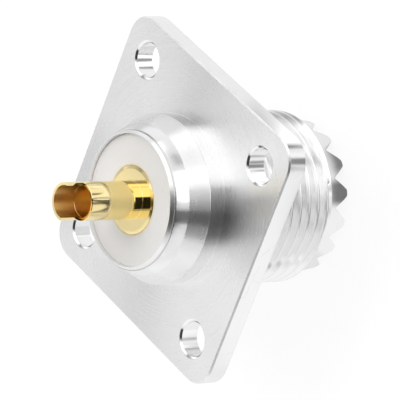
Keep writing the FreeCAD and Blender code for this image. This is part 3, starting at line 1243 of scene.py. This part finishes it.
@dataclass
class Studio:
    """Plain white studio: sky with cards, soft key light, pale floor and camera."""

    camera_place: tuple[float, float, float] = (221.27, 145.20, 215.37)
    camera_right: tuple[float, float, float] = (0.54884468, 0.32485739, -0.77021892)
    camera_up: tuple[float, float, float] = (-0.53303897, 0.84577503, -0.02310946)
    camera_back: tuple[float, float, float] = (0.64392466, 0.42324021, 0.63736078)
    lens: float = 340.9
    sensor: float = 36.0
    camera_azimuth: float = 33.3
    floor_height: float = -15.1
    floor_half: float = 3000.0
    floor_colour: Colour = (0.88, 0.88, 0.88)
    floor_level: float = 0.90
    floor_white: float = 1.05
    floor_glow: float = 0.85
    sky_level: float = 0.80
    key_azimuth: float = 110.0
    key_elevation: float = 72.0
    key_distance: float = 400.0
    key_size: float = 260.0
    key_power: float = 0.6
    bearing_offset: float = 0.7705
    clip_start: float = 0.01
    clip_end: float = 20.0

    cards: ClassVar[tuple[Card, ...]] = (
        Card(-11.5, 41.0, 18.5, 23.0, 0.02, softness=1.5),
        Card(-17.5, 90.0, 17.0, 29.0, 0.05),
        Card(31.0, 49.0, 23.0, 27.0, 1.75),
        Card(45.0, 97.0, 13.5, 14.0, 1.85),
        Card(17.5, 98.0, 12.5, 20.0, 1.62),
        Card(32.0, 6.0, 5.0, 5.0, 0.5, softness=1.5),
        Card(72.0, 116.0, 14.0, 18.0, 0.55, softness=4.0),
        Card(82.0, 134.0, 50.0, 26.0, 0.75, softness=6.0),
        Card(80.0, 160.0, 30.0, 11.0, 1.65, softness=3.0),
        Card(70.0, 34.0, 28.0, 24.0, 1.3, softness=3.0),
        Card(9.25, 10.0, 12.25, 6.0, 2.0, softness=1.5),
        Card(-14.0, 8.0, 5.5, 12.0, 0.2, softness=1.5),
        Card(-20.0, 17.0, 3.5, 4.0, 0.25, softness=1.5),
        Card(-40.0, 4.0, 14.0, 11.0, 1.12, softness=3.0),
        Card(-66.0, 45.0, 26.0, 17.0, 1.3, softness=3.0),
        Card(-75.0, 110.0, 35.0, 60.0, 1.22, softness=10.0),
        Card(158.0, 128.0, 16.0, 36.0, 1.5, softness=7.0),
        Card(-168.0, 122.0, 15.0, 50.0, 0.84, softness=8.0),
    )
    # Patches of painted shadow (level below 1) and painted light (level above 1), seen in reflections only.
    painted_patches: ClassVar[tuple[PaintedPatch, ...]] = (
        PaintedPatch(1.0, 6.5, 10.0, 3.0, 0.15, fade=0.5),
        PaintedPatch(15.0, 6.2, 6.0, 2.2, 0.4, fade=0.6),
        PaintedPatch(30.0, 6.2, 11.0, 2.3, 0.2, fade=0.8),
        PaintedPatch(-24.0, 12.8, 8.0, 2.0, 0.3),
        PaintedPatch(34.0, 19.0, 36.0, 8.0, 1.5),
        PaintedPatch(5.0, 31.0, 7.0, 7.0, 0.15, softness=3.0),
        PaintedPatch(-14.0, 35.5, 7.0, 3.2, 0.1, fade=0.5),
        PaintedPatch(39.0, 33.0, 5.0, 4.0, 0.1),
        PaintedPatch(40.0, 18.5, 9.0, 3.5, 0.08),
        PaintedPatch(74.0, 26.0, 5.0, 2.5, 0.15),
        PaintedPatch(-9.0, 26.5, 5.0, 3.0, 0.2),
        PaintedPatch(21.0, 26.0, 4.0, 2.0, 0.2),
        PaintedPatch(-34.7, 22.0, 7.0, 2.2, 0.45),
        PaintedPatch(1.0, 11.8, 6.0, 0.8, 0.4),
        PaintedPatch(60.0, 32.0, 12.0, 7.0, 1.15),
        PaintedPatch(16.0, 33.0, 8.0, 6.0, 1.15),
        PaintedPatch(-35.0, 8.0, 22.0, 2.5, 1.15),
        PaintedPatch(-50.0, 30.0, 20.0, 4.0, 1.12),
        PaintedPatch(-23.5, 2000.0, 27.5, 1950.0, 0.1, softness=4.0),
        PaintedPatch(-105.0, 150.0, 16.0, 100.0, 1.1, softness=6.0, fade=30.0),
        PaintedPatch(105.0, 150.0, 16.0, 100.0, 1.05, softness=6.0, fade=30.0),
        PaintedPatch(140.0, 100.0, 16.0, 50.0, 0.65, softness=6.0, fade=20.0),
    )

    @staticmethod
    def window(net: NodeNet, value: object, middle: float, half: float,
               softness: float) -> bpy.types.NodeSocket:
        """Give 1 within half of the middle and 0 outside, with an eased border."""
        away = net.math("ABSOLUTE", net.math("SUBTRACT", value, middle))
        return net.smooth(away, half - softness, half + softness, 1.0, 0.0)

    @staticmethod
    def changed(net: NodeNet, level: object, across: object, along: object,
                factor: float) -> bpy.types.NodeSocket:
        """Multiply a level by the factor where both windows, across and along, are open."""
        inside = net.math("MULTIPLY", across, along)
        return net.math("MULTIPLY", level, net.math("MULTIPLY_ADD", inside, factor - 1.0, 1.0))

    def sides(self, net: NodeNet, place: object) -> tuple[bpy.types.NodeSocket, bpy.types.NodeSocket]:
        """Give the level parts of a place or direction towards the camera and to the side of it."""
        turn = math.radians(self.camera_azimuth)
        ahead = net.vector("DOT_PRODUCT", place, (math.cos(turn), math.sin(turn), 0.0), output="Value")
        aside = net.vector("DOT_PRODUCT", place, (-math.sin(turn), math.cos(turn), 0.0), output="Value")
        return ahead, aside

    def sky(self) -> None:
        """Make the world: white to the camera, a bright sky with cards to everything else."""
        world = bpy.data.worlds.new("studio_sky")
        world.use_nodes = True
        bpy.context.scene.world = world
        net = NodeNet(world.node_tree)
        direction = net.vector("NORMALIZE", net.node("ShaderNodeTexCoord").outputs["Generated"])
        height = net.node("ShaderNodeSeparateXYZ", {0: direction}).outputs["Z"]
        ahead, aside = self.sides(net, direction)
        shifted = net.math("ADD", ahead, self.bearing_offset)
        bearing = net.math("DEGREES", net.math("ARCTAN2", aside, shifted))
        rise = net.math("DEGREES", net.math("ARCTAN2", height, ahead))
        level: object = self.sky_level
        for card in self.cards:
            across = self.window(net, bearing, card.bearing, card.half_width, card.softness)
            along = self.window(net, rise, card.rise, card.half_height, 2.0 * card.softness)
            level = self.changed(net, level, across, along, card.level)
        lit = net.node("ShaderNodeBackground", {"Color": net.vector("SCALE", (1.0, 1.0, 1.0), scale=level)})
        plain = net.node("ShaderNodeBackground", {"Color": (1.0, 1.0, 1.0, 1.0)})
        seen = net.node("ShaderNodeLightPath").outputs["Is Camera Ray"]
        mixed = net.node("ShaderNodeMixShader", {0: seen, 1: lit.outputs[0], 2: plain.outputs[0]})
        net.node("ShaderNodeOutputWorld", {"Surface": mixed.outputs[0]})

    def floor(self) -> None:
        """Make the pale floor that the mouth's teeth stand on.

        To the camera it is nearly white and keeps a faint shadow. To soft light it is an ordinary
        white matt surface; to reflections it is mostly a white glow with patches of painted shadow and
        painted light.
        """
        half = self.floor_half * METRE
        height = self.floor_height * METRE
        corners = [(-half, -half, height), (half, -half, height), (half, half, height), (-half, half, height)]
        mesh = bpy.data.meshes.new("floor")
        mesh.from_pydata(corners, [], [(0, 1, 2, 3)])
        piece = bpy.data.objects.new("floor", mesh)
        bpy.context.scene.collection.objects.link(piece)
        made, net = new_material("pale_floor")
        place = net.place()
        ahead, aside = self.sides(net, place)
        azimuth = net.math("DEGREES", net.math("ARCTAN2", aside, ahead))
        distance = net.vector("LENGTH", net.vector("MULTIPLY", place, (1.0, 1.0, 0.0)), output="Value")
        level: object = self.floor_level
        for patch in self.painted_patches:
            across = self.window(net, azimuth, patch.azimuth, patch.half_width, patch.softness)
            along = self.window(net, distance, patch.distance, patch.half_length, patch.fade)
            level = self.changed(net, level, across, along, patch.level)
        matt = net.node("ShaderNodeBsdfDiffuse", {"Color": opaque(self.floor_colour)})
        glow = net.node("ShaderNodeEmission", {"Color": (1.0, 1.0, 1.0, 1.0), "Strength": self.floor_white})
        # Reflections see this glow, which carries the painted shadow and light of the patches.
        painted_reflection = net.node("ShaderNodeEmission", {"Color": (1.0, 1.0, 1.0, 1.0), "Strength": level})
        path = net.node("ShaderNodeLightPath")
        share = net.math("MULTIPLY", path.outputs["Is Camera Ray"], self.floor_glow)
        seen = net.node("ShaderNodeMixShader", {0: share, 1: matt.outputs[0], 2: glow.outputs[0]})
        glossy = net.math("MULTIPLY", path.outputs["Is Glossy Ray"], self.floor_glow)
        mixed = net.node("ShaderNodeMixShader", {0: glossy, 1: seen.outputs[0], 2: painted_reflection.outputs[0]})
        net.node("ShaderNodeOutputMaterial", {"Surface": mixed.outputs[0]})
        mesh.materials.append(made)

    def key_light(self) -> None:
        """Add the soft key light, which shines on matt surfaces from behind the picture's left."""
        turn, rise = math.radians(self.key_azimuth), math.radians(self.key_elevation)
        back = (math.cos(turn) * math.cos(rise), math.sin(turn) * math.cos(rise), math.sin(rise))
        data = bpy.data.lights.new("key_light", "AREA")
        data.shape = "DISK"
        data.size = self.key_size * METRE
        data.energy = self.key_power
        lamp = bpy.data.objects.new("key_light", data)
        lamp.location = [part * self.key_distance * METRE for part in back]
        lamp.rotation_mode = "QUATERNION"
        lamp.rotation_quaternion = Vector(back).to_track_quat("Z", "Y")
        lamp.visible_glossy = False
        bpy.context.scene.collection.objects.link(lamp)

    def camera(self) -> None:
        """Place the camera at the photograph's viewing angle."""
        data = bpy.data.cameras.new("camera")
        data.lens = self.lens
        data.sensor_width = self.sensor
        data.clip_start = self.clip_start
        data.clip_end = self.clip_end
        camera = bpy.data.objects.new("camera", data)
        turn = Matrix((self.camera_right, self.camera_up, self.camera_back)).transposed()
        place = Vector(self.camera_place) * METRE
        camera.matrix_world = Matrix.Translation(place) @ turn.to_4x4()
        bpy.context.scene.collection.objects.link(camera)
        bpy.context.scene.camera = camera

    def build(self) -> None:
        """Build the whole studio."""
        self.sky()
        self.floor()
        self.key_light()
        self.camera()
        bpy.context.scene.view_settings.view_transform = "Standard"


def main() -> None:
    """Build every piece and the studio."""
    logging.basicConfig(level=logging.INFO, format="%(name)s %(message)s")
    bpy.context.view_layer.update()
    for assembly in (Shell(), Insulator(), CentreContact()):
        report(assembly.build())
    Studio().build()
    bpy.context.view_layer.update()


if __name__ == "__main__":
    main()
